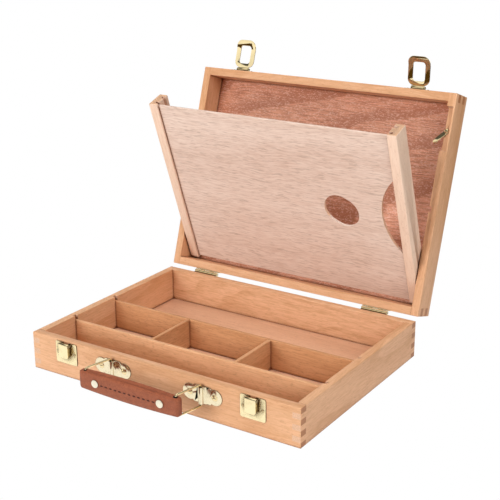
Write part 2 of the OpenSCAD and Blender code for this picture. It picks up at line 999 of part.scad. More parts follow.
module at_bracket_screws() {
    for (s = [-1, 1], dx = [-bracket_screw_x, bracket_screw_x])
        on_front(s * handle_x + dx, handle_z)
            children();
}

// The saddle's section: X across and Y out of the box
module saddle_outline() {
    translate([0, ring_out])
        circle(saddle_r);
    polygon([
        [-saddle_w / 2, 0],
        [saddle_w / 2, 0],
        [saddle_w / 2, plate_t],
        [saddle_r, ring_out],
        [-saddle_r, ring_out],
        [-saddle_w / 2, plate_t]
    ]);
}

// A bracket with a round lobe at each end, and a saddle pressed up over the ring's pivot leg
module handle_bracket(x) {
    saddle_h = bracket_h - 2 * saddle_end;
    lobe_x = bracket_w / 2 - bracket_lobe_r;
    color("gold")
        on_front(x, handle_z)
            difference() {
                union() {
                    linear_extrude(plate_t) {
                        rounded_rect(lobe_x * 1.5, bracket_h, 3);
                        for (s = [-1, 1])
                            translate([s * lobe_x, 0])
                                circle(bracket_lobe_r);
                        square([2 * lobe_x, bracket_lobe_r * 1.6], center = true);
                    }
                    translate([0, saddle_h / 2, 0])
                        rotate([90, 0, 0])
                            linear_extrude(saddle_h)
                                saddle_outline();
                }
                translate([0, 0, ring_out])
                    rotate([90, 0, 0])
                        cylinder(d = ring_wire + 2 * run_fit, h = 2 * bracket_h, center = true);
                for (dx = [-bracket_screw_x, bracket_screw_x])
                    translate([dx, 0, 0])
                        screw_hole(screw_l);
            }
}

module left_handle_bracket() {
    handle_bracket(-handle_x);
}

module right_handle_bracket() {
    handle_bracket(handle_x);
}

// A closed ring of round wire with bent corners, its pivot leg on Z
module handle_ring(x) {
    bend_r = ring_wire;
    leg = ring_h - 2 * bend_r;
    bar = ring_l - 2 * bend_r;
    color("gold")
        on_ring(x, handle_swing) {
            for (y = [0, -ring_l])
                translate([0, y, -leg / 2])
                    cylinder(d = ring_wire, h = leg);
            for (s = [-1, 1])
                translate([0, -bend_r, s * ring_h / 2])
                    rotate([90, 0, 0])
                        cylinder(d = ring_wire, h = bar);
            for (sy = [0, 1], sz = [0, 1])
                translate([0, -ring_l / 2, 0])
                    mirror([0, sy, 0])
                        mirror([0, 0, sz])
                            translate([0, ring_l / 2 - bend_r, leg / 2])
                                rotate([90, 0, 90])
                                    rotate_extrude(angle = 90)
                                        translate([bend_r, 0])
                                            circle(d = ring_wire);
        }
}

module left_handle_ring() {
    handle_ring(-handle_x);
}

module right_handle_ring() {
    handle_ring(handle_x);
}

// The grip's outline from above: round ends, and a front face that bows out
module grip_outline() {
    bow_half = handle_x;
    bow_r = (bow_half * bow_half + grip_bow * grip_bow) / (2 * grip_bow);
    square([2 * handle_x, grip_t], center = true);
    for (s = [-1, 1])
        translate([s * handle_x, 0]) {
            translate([s * (grip_end - grip_t / 2), 0])
                circle(d = grip_t);
            square([2 * (grip_end - grip_t / 2), grip_t], center = true);
        }
    intersection() {
        translate([0, bow_r - grip_bow - grip_t / 2])
            circle(bow_r, $fn = 360);
        translate([-bow_half, -grip_t])
            square([2 * bow_half, grip_t]);
    }
}

rivet_x = handle_x + grip_end - rivet_in;

module handle_grip() {
    color("saddlebrown")
        translate([grip_x, grip_y, handle_z])
            difference() {
                translate([0, 0, -grip_h / 2])
                    linear_extrude(grip_h)
                        grip_outline();
                translate([-handle_x, 0, 0])
                    cylinder(d = ring_wire + 2 * run_fit, h = 2 * grip_h, center = true);
                translate([handle_x, 0, 0])
                    cylinder(d = ring_wire + 2 * free_pivot_play, h = 2 * grip_h, center = true);
                for (s = [-1, 1])
                    translate([s * rivet_x, 0, 0])
                        rotate([90, 0, 0])
                            cylinder(d = rivet_shank_d + 2 * seat_fit, h = 2 * grip_t, center = true);
            }
}

// Rivets through the grip, with a flat head on each face
module grip_rivets() {
    front_face = grip_t / 2 + grip_bow;
    color("wheat")
        for (s = [-1, 1])
            translate([grip_x + s * rivet_x, grip_y, handle_z])
                rotate([90, 0, 0]) {
                    translate([0, 0, -grip_t / 2 - rivet_head])
                        cylinder(d = rivet_shank_d, h = grip_t / 2 + front_face + 2 * rivet_head);
                    translate([0, 0, front_face])
                        cylinder(d = rivet_d, h = rivet_head);
                    translate([0, 0, -grip_t / 2 - rivet_head])
                        cylinder(d = rivet_d, h = rivet_head);
                }
}

module handle_bracket_screws() {
    color("goldenrod")
        at_bracket_screws()
            translate([0, 0, plate_t])
                screw(bracket_screw_d, plate_t + screw_l);
}

// ---- Rack and palette ----

// What is cut off the back of a rail's foot: a bevel that lies along the lid panel when the rack is
// up, and a smaller one before it that lets the foot turn past the panel
module heel_cut() {
    for (lean = [rack_tilt / 2, rack_tilt])
        rotate([-lean, 0, 0])
            translate([-rail_w, -3 * rail_tip, rail_rear])
                cube([2 * rail_w, 6 * rail_tip, 2 * rail_deep]);
}

// A rail drawn round its pivot, with two grooves in its inner face
module rack_rail(side) {
    groove_x = side > 0 ? rail_inner_x - past : -rail_inner_x - groove_deep;
    panel_groove_rear = rail_rear - rear_lip;
    color("tan")
        in_rack()
            difference() {
                translate([side > 0 ? rail_inner_x : -rail_outer_x, -rail_top, rail_front])
                    cube([rail_w, rail_top + rail_tip, rail_deep]);
                translate([groove_x, -rail_top - past, rail_front + rail_lip])
                    cube([groove_deep + past, rail_top + past + palette_low, palette_groove_w]);
                translate([groove_x, -rail_top - past, panel_groove_rear - panel_groove_w])
                    cube([groove_deep + past, rail_top + past, panel_groove_w]);
                translate([side * (rail_inner_x + rail_w / 2), 0, 0])
                    heel_cut();
                translate([side * rail_outer_x, 0, 0])
                    x_cylinder(rack_pin_d + 2 * run_fit, 2 * (rack_pin_hold + seat_fit));
            }
}

module left_rack_rail() {
    rack_rail(-1);
}

module right_rack_rail() {
    rack_rail(1);
}

module rack_pivot_pins() {
    color("silver")
        in_lid()
            for (s = [-1, 1])
                translate([s * (rail_outer_x + rail_side_gap / 2), rack_pivot_y, rack_pivot_z])
                    x_cylinder(rack_pin_d, 2 * rack_pin_hold + rail_side_gap);
}

// The palette's outline: X across and Y up from its lower edge
module palette_outline() {
    palette_h = palette_top + palette_low;
    thumb_r = thumb_w / 2;
    difference() {
        translate([-palette_x, 0])
            square([2 * palette_x, palette_h]);
        translate([palette_x - thumb_in, thumb_up])
            rotate(-thumb_slant) {
                square([thumb_l - thumb_w, thumb_w], center = true);
                for (s = [-1, 1])
                    translate([s * (thumb_l / 2 - thumb_r), 0])
                        circle(thumb_r);
            }
        translate([palette_x + hand_out, hand_up])
            circle(hand_r, $fn = 96);
    }
}

module palette() {
    color("bisque")
        in_rack()
            translate([0, palette_low, palette_front + palette_t])
                rotate([180, 0, 0])
                    linear_extrude(palette_t)
                        palette_outline();
}

// ---- Turn button ----

// The button's side view: a flat round its screw, a joggle, and a raised tip
module button_profile() {
    rise_from = button_screw_d / 2 + button_t;
    rise_to = rise_from + button_slope;
    mitre = button_t * button_joggle / button_slope / 2;
    polygon([
        [-button_w, button_lift],
        [rise_from, button_lift],
        [rise_to, button_lift + button_joggle],
        [button_l, button_lift + button_joggle],
        [button_l, button_lift + button_joggle + button_t],
        [rise_to - mitre, button_lift + button_joggle + button_t],
        [rise_from - mitre, button_lift + button_t],
        [-button_w, button_lift + button_t]
    ]);
}

// Places a drawing on the notch floor, with Z out towards the lid's mouth
module on_notch_floor(turn) {
    in_lid()
        translate([button_x, button_y, button_z])
            rotate([0, 0, turn])
                rotate([0, 180, 0])
                    children();
}

module turn_button() {
    eye_r = max(button_w / 2, button_screw_d / 2 + eye_rim);
    color("gold")
        on_notch_floor(button_turn)
            difference() {
                intersection() {
                    along_x(2 * eye_r)
                        button_profile();
                    linear_extrude(2 * notch_deep) {
                        circle(eye_r);
                        translate([-button_w / 2, 0])
                            square([button_w, button_l - button_w / 2]);
                        translate([0, button_l - button_w / 2])
                            circle(button_w / 2);
                    }
                }
                cylinder(d = shank_d + 2 * run_fit, h = 4 * notch_deep, center = true);
            }
}

module turn_button_screw() {
    color("goldenrod")
        on_notch_floor(0)
            translate([0, 0, 2 * button_lift + button_t])
                screw(button_screw_d, 2 * button_lift + button_t + screw_l);
}

base_front_wall();
base_back_wall();
base_left_side();
base_right_side();
base_floor();
front_divider();
rear_divider();
cross_dividers();
lid_front_rail();
lid_hinge_rail();
lid_left_rail();
lid_right_rail();
lid_panel();
hinge_base_leaves();
hinge_lid_leaves();
hinge_pins();
hinge_base_screws();
hinge_lid_screws();
left_latch_plate();
right_latch_plate();
left_latch_lever();
right_latch_lever();
latch_lever_pins();
latch_plate_screws();
left_loop_bracket();
right_loop_bracket();
left_latch_loop();
right_latch_loop();
loop_pins();
loop_bracket_screws();
left_handle_bracket();
right_handle_bracket();
left_handle_ring();
right_handle_ring();
handle_grip();
grip_rivets();
handle_bracket_screws();
left_rack_rail();
right_rack_rail();
rack_pivot_pins();
palette();
turn_button();
turn_button_screw();
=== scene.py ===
import json
import math

import bmesh
import bpy
from mathutils import Matrix, Vector


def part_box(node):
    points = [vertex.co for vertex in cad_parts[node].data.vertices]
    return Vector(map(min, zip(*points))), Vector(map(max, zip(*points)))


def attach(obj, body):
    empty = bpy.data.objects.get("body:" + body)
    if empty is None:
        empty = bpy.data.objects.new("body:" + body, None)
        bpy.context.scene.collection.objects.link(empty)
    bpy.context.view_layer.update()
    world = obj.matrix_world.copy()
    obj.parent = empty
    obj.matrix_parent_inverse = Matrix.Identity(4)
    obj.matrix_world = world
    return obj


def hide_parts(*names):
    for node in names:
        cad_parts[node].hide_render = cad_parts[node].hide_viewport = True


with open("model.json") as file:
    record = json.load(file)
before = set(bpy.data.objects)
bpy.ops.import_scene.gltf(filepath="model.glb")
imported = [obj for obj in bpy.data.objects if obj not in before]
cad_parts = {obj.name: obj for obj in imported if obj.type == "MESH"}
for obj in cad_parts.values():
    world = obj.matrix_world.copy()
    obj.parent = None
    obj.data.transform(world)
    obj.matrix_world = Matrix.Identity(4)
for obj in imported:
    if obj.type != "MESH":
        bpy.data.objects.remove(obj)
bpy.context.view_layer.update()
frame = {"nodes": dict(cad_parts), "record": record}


# ---- Camera ----
# A long lens looks down on the open box from its right front corner, so that the compartments, the
# rack and the inside of the lid all show.

CAMERA_AT = Vector((0.6713, -0.9766, 0.5442))
CAMERA_AZIMUTH = math.radians(33.137)
CAMERA_ELEVATION = math.radians(18.882)
CAMERA_ROLL = math.radians(-0.276)
CAMERA_LENS = 79.1
CLIP_START = 0.05

camera = bpy.data.objects.new("camera", bpy.data.cameras.new("camera"))
bpy.context.collection.objects.link(camera)
camera.data.lens = CAMERA_LENS
camera.data.clip_start = CLIP_START
aim = Vector((
    -math.sin(CAMERA_AZIMUTH) * math.cos(CAMERA_ELEVATION),
    math.cos(CAMERA_AZIMUTH) * math.cos(CAMERA_ELEVATION),
    -math.sin(CAMERA_ELEVATION),
))
camera.rotation_mode = "QUATERNION"
camera.rotation_quaternion = (
    aim.to_track_quat("-Z", "Y") @ Matrix.Rotation(CAMERA_ROLL, 3, "Z").to_quaternion())
camera.location = CAMERA_AT
bpy.context.scene.camera = camera
bpy.context.scene.view_settings.view_transform = "Standard"


# ---- Floor and light ----
# A matt white sheet lies under the box, with soft boxes in front of it, to its right and above.
# Polished metal sees a pale table and bright panels with a dark gap between them, and that gives
# brass its hard streaks.

FLOOR_SIZE = 12.0
FLOOR_DROP = 0.0004
FLOOR_WHITE = (0.88, 0.875, 0.865)
FLOOR_ROUGHNESS = 0.8
# How far the table reaches that metal sees, its colour, and the room's colour past its edge
TABLE_REACH = 0.6
TABLE_EDGE = 0.08
TABLE_WHITE = (1.15, 1.13, 1.08)
PAST_TABLE = (0.08, 0.04, 0.006)

ROOM_LIGHT = 0.38
ROOM_COLOURS = ((0.05, (0.36, 0.28, 0.20)), (0.75, (1.0, 0.93, 0.84)))
# What polished metal sees of the room: a height, and how bright the room is from there on
METAL_ROOM = ((0.0, 0.1), (0.50, 1.12), (0.68, 0.95), (0.73, 0.08), (0.88, 0.12), (0.93, 1.2))
METAL_ROOM_TINT = (1.0, 0.96, 0.88)

# Place, size and power of each lamp, and the point that all of them face
SOFT_BOXES = {
    "front_box": ((-0.9, -2.5, 0.9), 1.2, 42.0),
    "right_box": ((1.9, -0.9, 1.1), 1.0, 15.0),
    "top_box": ((0.0, -0.4, 2.5), 1.2, 22.5),
}
LAMPS_FACE = Vector((0, 0, 0.12))


def new_material(name):
    """A material with its Principled shader, ready for its colour and bump."""
    made = bpy.data.materials.new(name)
    made.use_nodes = True
    return made, made.node_tree, made.node_tree.nodes["Principled BSDF"]


def feed(tree, socket, value):
    """Links a socket to another one, or sets it to a colour or a number."""
    if isinstance(value, bpy.types.NodeSocket):
        tree.links.new(value, socket)
    elif isinstance(value, tuple):
        socket.default_value = (*value, 1)
    else:
        socket.default_value = value


def place_from(tree, kind):
    """The place of each point on the surface, or of each direction in the room."""
    return tree.nodes.new("ShaderNodeTexCoord").outputs[kind]


def coloured_by(tree, value, stops):
    """Colours over a value, from pairs of a place on it and a colour."""
    node = tree.nodes.new("ShaderNodeValToRGB")
    elements = node.color_ramp.elements
    while len(elements) < len(stops):
        elements.new(0.5)
    for element, (at, colour) in zip(elements, stops):
        element.position = at
        element.color = (*colour, 1)
    tree.links.new(value, node.inputs[0])
    return node.outputs[0]


def glow(tree, kind, colour):
    """A shader that gives its own light: Emission on a surface, Background in the room."""
    node = tree.nodes.new(kind)
    feed(tree, node.inputs["Color"], colour)
    return node.outputs[0]


def for_rays(tree, rays, usual, special):
    """The usual shader, and a special one for the rays of one kind."""
    mix = tree.nodes.new("ShaderNodeMixShader")
    seen_by = tree.nodes.new("ShaderNodeLightPath").outputs[rays]
    for socket, value in zip(mix.inputs, (seen_by, usual, special)):
        tree.links.new(value, socket)
    return mix.outputs[0]


def build_floor():
    half = FLOOR_SIZE / 2
    corners = [(x, y, -FLOOR_DROP) for x, y in ((-half, -half), (half, -half), (half, half), (-half, half))]
    mesh = bpy.data.meshes.new("floor")
    mesh.from_pydata(corners, [], [(0, 1, 2, 3)])
    floor = bpy.data.objects.new("floor", mesh)
    bpy.context.collection.objects.link(floor)

    made, tree, shader = new_material("floor_white")
    feed(tree, shader.inputs["Base Color"], FLOOR_WHITE)
    feed(tree, shader.inputs["Roughness"], FLOOR_ROUGHNESS)
    from_box = tree.nodes.new("ShaderNodeVectorMath")
    from_box.operation = "LENGTH"
    tree.links.new(place_from(tree, "Object"), from_box.inputs[0])
    table = coloured_by(tree, from_box.outputs["Value"],
                        ((TABLE_REACH, TABLE_WHITE), (TABLE_REACH + TABLE_EDGE, PAST_TABLE)))
    lit = for_rays(tree, "Is Glossy Ray", shader.outputs[0], glow(tree, "ShaderNodeEmission", table))
    shown = for_rays(tree, "Is Camera Ray", lit, glow(tree, "ShaderNodeEmission", (1, 1, 1)))
    tree.links.new(shown, tree.nodes["Material Output"].inputs["Surface"])
    mesh.materials.append(made)


def build_room():
    """The room that lights the box, the one that metal sees, and plain white for the camera."""
    world = bpy.context.scene.world or bpy.data.worlds.new("room")
    bpy.context.scene.world = world
    world.use_nodes = True
    tree = world.node_tree
    room = tree.nodes["Background"]
    height = tree.nodes.new("ShaderNodeSeparateXYZ")
    tree.links.new(place_from(tree, "Generated"), height.inputs[0])
    feed(tree, room.inputs["Color"], coloured_by(tree, height.outputs["Z"], ROOM_COLOURS))
    room.inputs["Strength"].default_value = ROOM_LIGHT

    # Straight down is -1 in the room, and 0 on METAL_ROOM
    upright = tree.nodes.new("ShaderNodeMapRange")
    upright.inputs["From Min"].default_value = -1.0
    tree.links.new(height.outputs["Z"], upright.inputs["Value"])
    panels = [(at, tuple(level * tint for tint in METAL_ROOM_TINT)) for at, level in METAL_ROOM]
    for_metal = glow(tree, "ShaderNodeBackground", coloured_by(tree, upright.outputs[0], panels))
    lit = for_rays(tree, "Is Glossy Ray", room.outputs[0], for_metal)
    shown = for_rays(tree, "Is Camera Ray", lit, glow(tree, "ShaderNodeBackground", (1, 1, 1)))
    tree.links.new(shown, tree.nodes["World Output"].inputs["Surface"])


def build_lamps():
    for name, (place, size, power) in SOFT_BOXES.items():
        light = bpy.data.lights.new(name, "AREA")
        light.size = size
        light.energy = power
        holder = bpy.data.objects.new(name, light)
        holder.location = place
        holder.rotation_euler = (LAMPS_FACE - Vector(place)).to_track_quat("-Z", "Y").to_euler()
        # Polished metal sees the room above instead of a small square lamp
        holder.visible_glossy = False
        bpy.context.collection.objects.link(holder)


build_floor()
build_room()
build_lamps()


# ---- Beech boards ----
# The walls of the base and the frame of the lid are planed beech boards, finger jointed and glued
# at their corners, with the outer arrises eased once they are together. The grain runs the length
# of each board, and the fingers show its darker end.

BOARD_EASE = 0.0008
RIM_EASE = 0.0004
EASE_SEGMENTS = 3
# An edge that turns by more than this is an arris, and an inner one is eased when it is also longer
# than this
ARRIS_DEGREES = 60
LONG_ARRIS = 0.05
ON_FACE = 2e-5
WELD = 2e-6
FLAT_DEGREES = 0.5
BOARD_CREASE_DEGREES = 25
# A face is end grain when its normal points this much along the board
END_GRAIN_FROM = 0.8
# Each board is cut this much further along the plank than the last, and this share of it aside
CUT_STEP = 0.613
CUT_ASIDE = 0.37

# Cells in a metre along the grain, across it and through it, for each layer of the figure
WANDER_CELLS = (3.2, 14.0, 14.0)
RIPPLE_CELLS = (26.0, 45.0, 45.0)
TONE_CELLS = (2.2, 18.0, 18.0)
FIBRE_CELLS = (48.0, 620.0, 620.0)
PORE_CELLS = (40, 900, 900)
DASHES_ACROSS = 850.0
# How much fine detail a soft layer has, and how much and how strong it is in the fibres
SOFT_DETAIL = 2.0
FIBRE_DETAIL = 4.0
FIBRE_STRENGTH = 0.65
# Where each layer starts to show over its own range of 0 to 1, and where it shows in full
BAND_RISE = (0.40, 0.94)
BAND_FALL = (0.93, 1.0)
TONE_EDGE = (0.35, 0.7)
FIBRE_EDGE = (0.38, 0.66)
DASH_EDGE = (0.56, 0.68)
PORE_EDGE = (0.3, 0.7)
RINGS_LEAN = 0.6
FIBRES_FOLLOW = 0.25
TONE_DEPTH = 0.3
FIBRE_HEIGHT = 0.5
PORE_LIGHT = 1.3

WOOD_BUMP = (0.12, 0.0002)
WOOD_ROUGHNESS = 0.46
WOOD_GLOSS = 0.32
# Painted shade: where another surface is near, in corners, creases and under the dividers, the wood is
# darkened towards this colour
WOOD_PAINTED_SHADE = {"Reach": 0.004, "Closed": 0.45, "Open": 0.80}
WOOD_SHADE_COLOUR = (0.24, 0.075, 0.03)
CORNER_SAMPLES = 6

BEECH_COLOURS = {"Light": (0.81, 0.480, 0.285), "Dark": (0.64, 0.335, 0.170), "Dash": (0.42, 0.190, 0.095)}
BEECH_FIGURE = {"Bands per metre": 24.0, "Wander": 0.12, "Ripple": 0.002, "Band depth": 0.50,
                "Fibre depth": 0.55, "Dash depth": 0.36, "Dash share": -0.02, "Dashes per metre": 200.0}
BEECH_END = (0.38, 0.160, 0.070)
BEECH_SIDE_END = (0.62, 0.39, 0.26)
# The back wall is cut nearer the middle of the log, so its bands run out in long loops
FLAME_COLOURS = {**BEECH_COLOURS, "Light": (0.84, 0.51, 0.31), "Dark": (0.60, 0.31, 0.155)}
FLAME_FIGURE = {**BEECH_FIGURE, "Bands per metre": 95.0, "Wander": 0.085, "Ripple": 0.004,
                "Band depth": 0.34, "Dash depth": 0.30}

body_of = {node: body for body, nodes in frame["record"]["behaviour"]["bodies"].items() for node in nodes}
slot_of = {part["node"]: part["material_slot"] for part in frame["record"]["subparts"]}
joints = {joint["name"]: joint for joint in frame["record"]["behaviour"]["joints"]}


def folded(joint):
    """The turn that takes a piece from rest to its joint's lower limit."""
    at = Vector(joint["pos_m"])
    turned = Matrix.Rotation(math.radians(joint["range_deg"][0]), 4, Vector(joint["axis"]))
    return Matrix.Translation(at) @ turned @ Matrix.Translation(-at)


LID_SHUT = folded(joints["lid_hinge"])
RACK_SHUT = LID_SHUT @ folded(joints["rack_hinge"])
SHUT_PLACES = {"lid": LID_SHUT, "rack": RACK_SHUT, "palette": RACK_SHUT}


def maths(tree, operation, first, second=0.0):
    """One sum of two values, each a socket or a number."""
    node = tree.nodes.new("ShaderNodeMath")
    node.operation = operation
    feed(tree, node.inputs[0], first)
    feed(tree, node.inputs[1], second)
    return node.outputs[0]


def plus(tree, first, second):
    return maths(tree, "ADD", first, second)


def minus(tree, first, second):
    return maths(tree, "SUBTRACT", first, second)


def times(tree, first, second):
    return maths(tree, "MULTIPLY", first, second)


def split(tree, vector):
    """The three numbers of a vector."""
    node = tree.nodes.new("ShaderNodeSeparateXYZ")
    tree.links.new(vector, node.inputs[0])
    return node.outputs["X"], node.outputs["Y"], node.outputs["Z"]


def joined(tree, *numbers):
    """A vector made of three numbers."""
    node = tree.nodes.new("ShaderNodeCombineXYZ")
    for socket, number in zip(node.inputs, numbers):
        tree.links.new(number, socket)
    return node.outputs[0]


def cloud(tree, vector, cells, detail=3.0, rough=0.55):
    """Noise from 0 to 1, with as many cells in a metre as given, for all axes or for each."""
    node = tree.nodes.new("ShaderNodeTexNoise")
    if isinstance(cells, tuple):
        stretched = tree.nodes.new("ShaderNodeVectorMath")
        stretched.operation = "MULTIPLY"
        tree.links.new(vector, stretched.inputs[0])
        stretched.inputs[1].default_value = cells
        vector = stretched.outputs[0]
        cells = 1.0
    node.inputs["Scale"].default_value = cells
    node.inputs["Detail"].default_value = detail
    node.inputs["Roughness"].default_value = rough
    tree.links.new(vector, node.inputs["Vector"])
    return node.outputs["Fac"]


def swing(tree, vector, cells):
    """Soft noise on both sides of 0."""
    return minus(tree, cloud(tree, vector, cells, SOFT_DETAIL), 0.5)


def spread(tree, value, low, high):
    """Takes the band from low to high out of a value, and stretches it over 0 to 1."""
    node = tree.nodes.new("ShaderNodeMapRange")
    node.interpolation_type = "SMOOTHSTEP"
    feed(tree, node.inputs["From Min"], low)
    feed(tree, node.inputs["From Max"], high)
    tree.links.new(value, node.inputs["Value"])
    return node.outputs["Result"]


def blended(tree, mask, first, second):
    """Mixes two colours by a mask, each a socket or a colour."""
    node = tree.nodes.new("ShaderNodeMix")
    node.data_type = "RGBA"
    tree.links.new(mask, node.inputs["Factor"])
    feed(tree, node.inputs[6], first)
    feed(tree, node.inputs[7], second)
    return node.outputs[2]


def new_group(name, inputs, outputs):
    """An empty node group with the named sockets."""
    group = bpy.data.node_groups.new(name, "ShaderNodeTree")
    for label, kind, value in inputs:
        socket = group.interface.new_socket(label, in_out="INPUT", socket_type=kind)
        if value is not None:
            socket.default_value = value
    for label, kind in outputs:
        group.interface.new_socket(label, in_out="OUTPUT", socket_type=kind)
    return group, group.nodes.new("NodeGroupInput"), group.nodes.new("NodeGroupOutput")


def wood_figure_group():
    """Wood seen close: broad tone, growth bands that wander, fine wavy fibres, and short dashes."""
    group, given, made = new_group(
        "wood_figure",
        [("Grain", "NodeSocketVector", None),
         ("Light", "NodeSocketColor", (0.8, 0.5, 0.3, 1)),
         ("Dark", "NodeSocketColor", (0.6, 0.35, 0.2, 1)),
         ("Dash", "NodeSocketColor", (0.45, 0.2, 0.1, 1)),
         ("Bands per metre", "NodeSocketFloat", 30.0),
         ("Wander", "NodeSocketFloat", 0.03),
         ("Slant", "NodeSocketFloat", 0.0),
         ("Ripple", "NodeSocketFloat", 0.003),
         ("Band depth", "NodeSocketFloat", 0.35),
         ("Fibre depth", "NodeSocketFloat", 0.3),
         ("Dash depth", "NodeSocketFloat", 0.4),
         ("Dash share", "NodeSocketFloat", 0.0),
         ("Dashes per metre", "NodeSocketFloat", 260.0)],
        [("Colour", "NodeSocketColor"), ("Height", "NodeSocketFloat")])
    grain = given.outputs["Grain"]
    along, across, through = split(group, grain)

    # Bands: evenly spaced across the board, then slanted and pushed about by the wander and ripple
    drift = times(group, swing(group, grain, WANDER_CELLS), given.outputs["Wander"])
    ripple = times(group, swing(group, grain, RIPPLE_CELLS), given.outputs["Ripple"])
    rippled = plus(group, across, ripple)
    slanted = plus(group, rippled, times(group, along, given.outputs["Slant"]))
    slanted = plus(group, slanted, drift)
    slanted = plus(group, slanted, times(group, through, RINGS_LEAN))
    wave = maths(group, "FRACT", times(group, slanted, given.outputs["Bands per metre"]))
    fallen = spread(group, wave, *BAND_FALL)
    band = times(group, spread(group, wave, *BAND_RISE), minus(group, 1.0, fallen))

    # Fibres and dashes: both follow the ripple, and a little of the wander
    followed = plus(group, rippled, times(group, drift, FIBRES_FOLLOW))
    followed_place = joined(group, along, followed, through)
    fibre = cloud(group, followed_place, FIBRE_CELLS, FIBRE_DETAIL, FIBRE_STRENGTH)
    lengths = joined(
        group,
        times(group, along, given.outputs["Dashes per metre"]),
        times(group, followed, DASHES_ACROSS),
        times(group, through, DASHES_ACROSS))
    flecks = plus(group, cloud(group, lengths, 1.0, SOFT_DETAIL), given.outputs["Dash share"])
    dash = spread(group, flecks, *DASH_EDGE)

    # Colour and height: the layers darken the wood together, and each dash is a small hollow
    tone = spread(group, cloud(group, grain, TONE_CELLS), *TONE_EDGE)
    depth = times(group, band, given.outputs["Band depth"])
    depth = plus(group, depth, times(group, tone, TONE_DEPTH))
    dark_fibre = spread(group, fibre, *FIBRE_EDGE)
    depth = plus(group, depth, times(group, dark_fibre, given.outputs["Fibre depth"]))
    colour = blended(group, depth, given.outputs["Light"], given.outputs["Dark"])
    dash_depth = times(group, dash, given.outputs["Dash depth"])
    feed(group, made.inputs["Colour"], blended(group, dash_depth, colour, given.outputs["Dash"]))
    feed(group, made.inputs["Height"], minus(group, times(group, fibre, FIBRE_HEIGHT), dash))
    return group


def painted_shade_mask_group():
    """How open the surface is, the mask for painted shade: 0 deep in a corner, 1 where nothing is near
    within the reach.
    """
    group, given, made = new_group(
        "painted_shade_mask",
        [("Reach", "NodeSocketFloat", 0.004),
         ("Closed", "NodeSocketFloat", 0.45),
         ("Open", "NodeSocketFloat", 0.8)],
        [("Mask", "NodeSocketFloat")])
    corner = group.nodes.new("ShaderNodeAmbientOcclusion")
    corner.samples = CORNER_SAMPLES
    feed(group, corner.inputs["Distance"], given.outputs["Reach"])
    eased = spread(group, corner.outputs["AO"], given.outputs["Closed"], given.outputs["Open"])
    feed(group, made.inputs["Mask"], eased)
    return group


WOOD_FIGURE = wood_figure_group()
PAINTED_SHADE_MASK = painted_shade_mask_group()


def placed(tree, group, values):
    """Places a node group in a material and gives it the values of its named inputs."""
    node = tree.nodes.new("ShaderNodeGroup")
    node.node_tree = group
    for label, value in values.items():
        feed(tree, node.inputs[label], value)
    return node.outputs


def stored(tree, name, output):
    """Reads a value that is stored on the mesh."""
    node = tree.nodes.new("ShaderNodeAttribute")
    node.attribute_name = name
    return node.outputs[output]


def add_bump(tree, shader, height, strength, distance):
    """Lets the light see a fine height that the mesh doesn't have."""
    node = tree.nodes.new("ShaderNodeBump")
    node.inputs["Strength"].default_value = strength
    node.inputs["Distance"].default_value = distance
    tree.links.new(height, node.inputs["Height"])
    tree.links.new(node.outputs[0], shader.inputs["Normal"])


def wood_material(name, colours, end, figure, roughness=WOOD_ROUGHNESS, gloss=WOOD_GLOSS):
    """Planed wood: its figure follows the stored grain, its end grain is porous, and a little
    shade is painted into its creases."""
    made, tree, shader = new_material(name)
    grain = stored(tree, "grain", "Vector")
    face = placed(tree, WOOD_FIGURE, {"Grain": grain, **colours, **figure})
    pores = spread(tree, cloud(tree, grain, PORE_CELLS), *PORE_EDGE)
    cut = blended(tree, pores, tuple(c * PORE_LIGHT for c in end), end)
    colour = blended(tree, stored(tree, "end_grain", "Fac"), face["Colour"], cut)
    # Painted shade in the wood's corners and creases
    with_painted_shade = blended(tree, placed(tree, PAINTED_SHADE_MASK, WOOD_PAINTED_SHADE)["Mask"], WOOD_SHADE_COLOUR, colour)
    feed(tree, shader.inputs["Base Color"], with_painted_shade)
    feed(tree, shader.inputs["Roughness"], roughness)
    feed(tree, shader.inputs["Specular IOR Level"], gloss)
    add_bump(tree, shader, face["Height"], *WOOD_BUMP)
    return made


BEECH = wood_material("beech", BEECH_COLOURS, BEECH_END, BEECH_FIGURE)
BEECH_SIDE = wood_material("beech_side", BEECH_COLOURS, BEECH_SIDE_END, BEECH_FIGURE)
BEECH_FLAME = wood_material("beech_flame", FLAME_COLOURS, BEECH_END, FLAME_FIGURE)


def clean_copy(node):
    """A copy of a CAD node's mesh with its flat faces whole again."""
    built = bmesh.new()
    built.from_mesh(frame["nodes"][node].data)
    bmesh.ops.remove_doubles(built, verts=built.verts, dist=WELD)
    bmesh.ops.dissolve_limit(
        built, angle_limit=math.radians(FLAT_DEGREES), use_dissolve_boundaries=False,
        verts=built.verts, edges=built.edges)
    return built


def piece_of(built, name):
    """Turns a mesh that is built into a piece with a name."""
    mesh = bpy.data.meshes.new(name)
    built.to_mesh(mesh)
    built.free()
    piece = bpy.data.objects.new(name, mesh)
    bpy.context.collection.objects.link(piece)
    return piece


def apply_modifiers(piece):
    """Fixes a piece's modifiers into its mesh."""
    seen = bpy.context.evaluated_depsgraph_get()
    piece_now = piece.evaluated_get(seen)
    mesh = bpy.data.meshes.new_from_object(piece_now, preserve_all_data_layers=True, depsgraph=seen)
    old = piece.data
    piece.modifiers.clear()
    piece.data = mesh
    mesh.name = old.name
    bpy.data.meshes.remove(old)


def smooth(mesh, crease_degrees):
    """Shades a mesh smooth, and keeps the edges sharp that turn by more than this."""
    for face in mesh.polygons:
        face.use_smooth = True
    mesh.set_sharp_from_angle(angle=math.radians(crease_degrees))


def finish_in(mesh, look):
    """Gives a mesh its one material."""
    mesh.materials.clear()
    mesh.materials.append(look)


def take_over(piece, node):
    """Puts a piece in the place of its CAD node, on the same body."""
    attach(piece, body_of[node])
    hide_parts(node)


def outer_faces(low, high, point):
    """How many faces of the closed box a point lies on."""
    return sum(
        abs(point[i] - low[i]) < ON_FACE or abs(point[i] - high[i]) < ON_FACE for i in range(3))


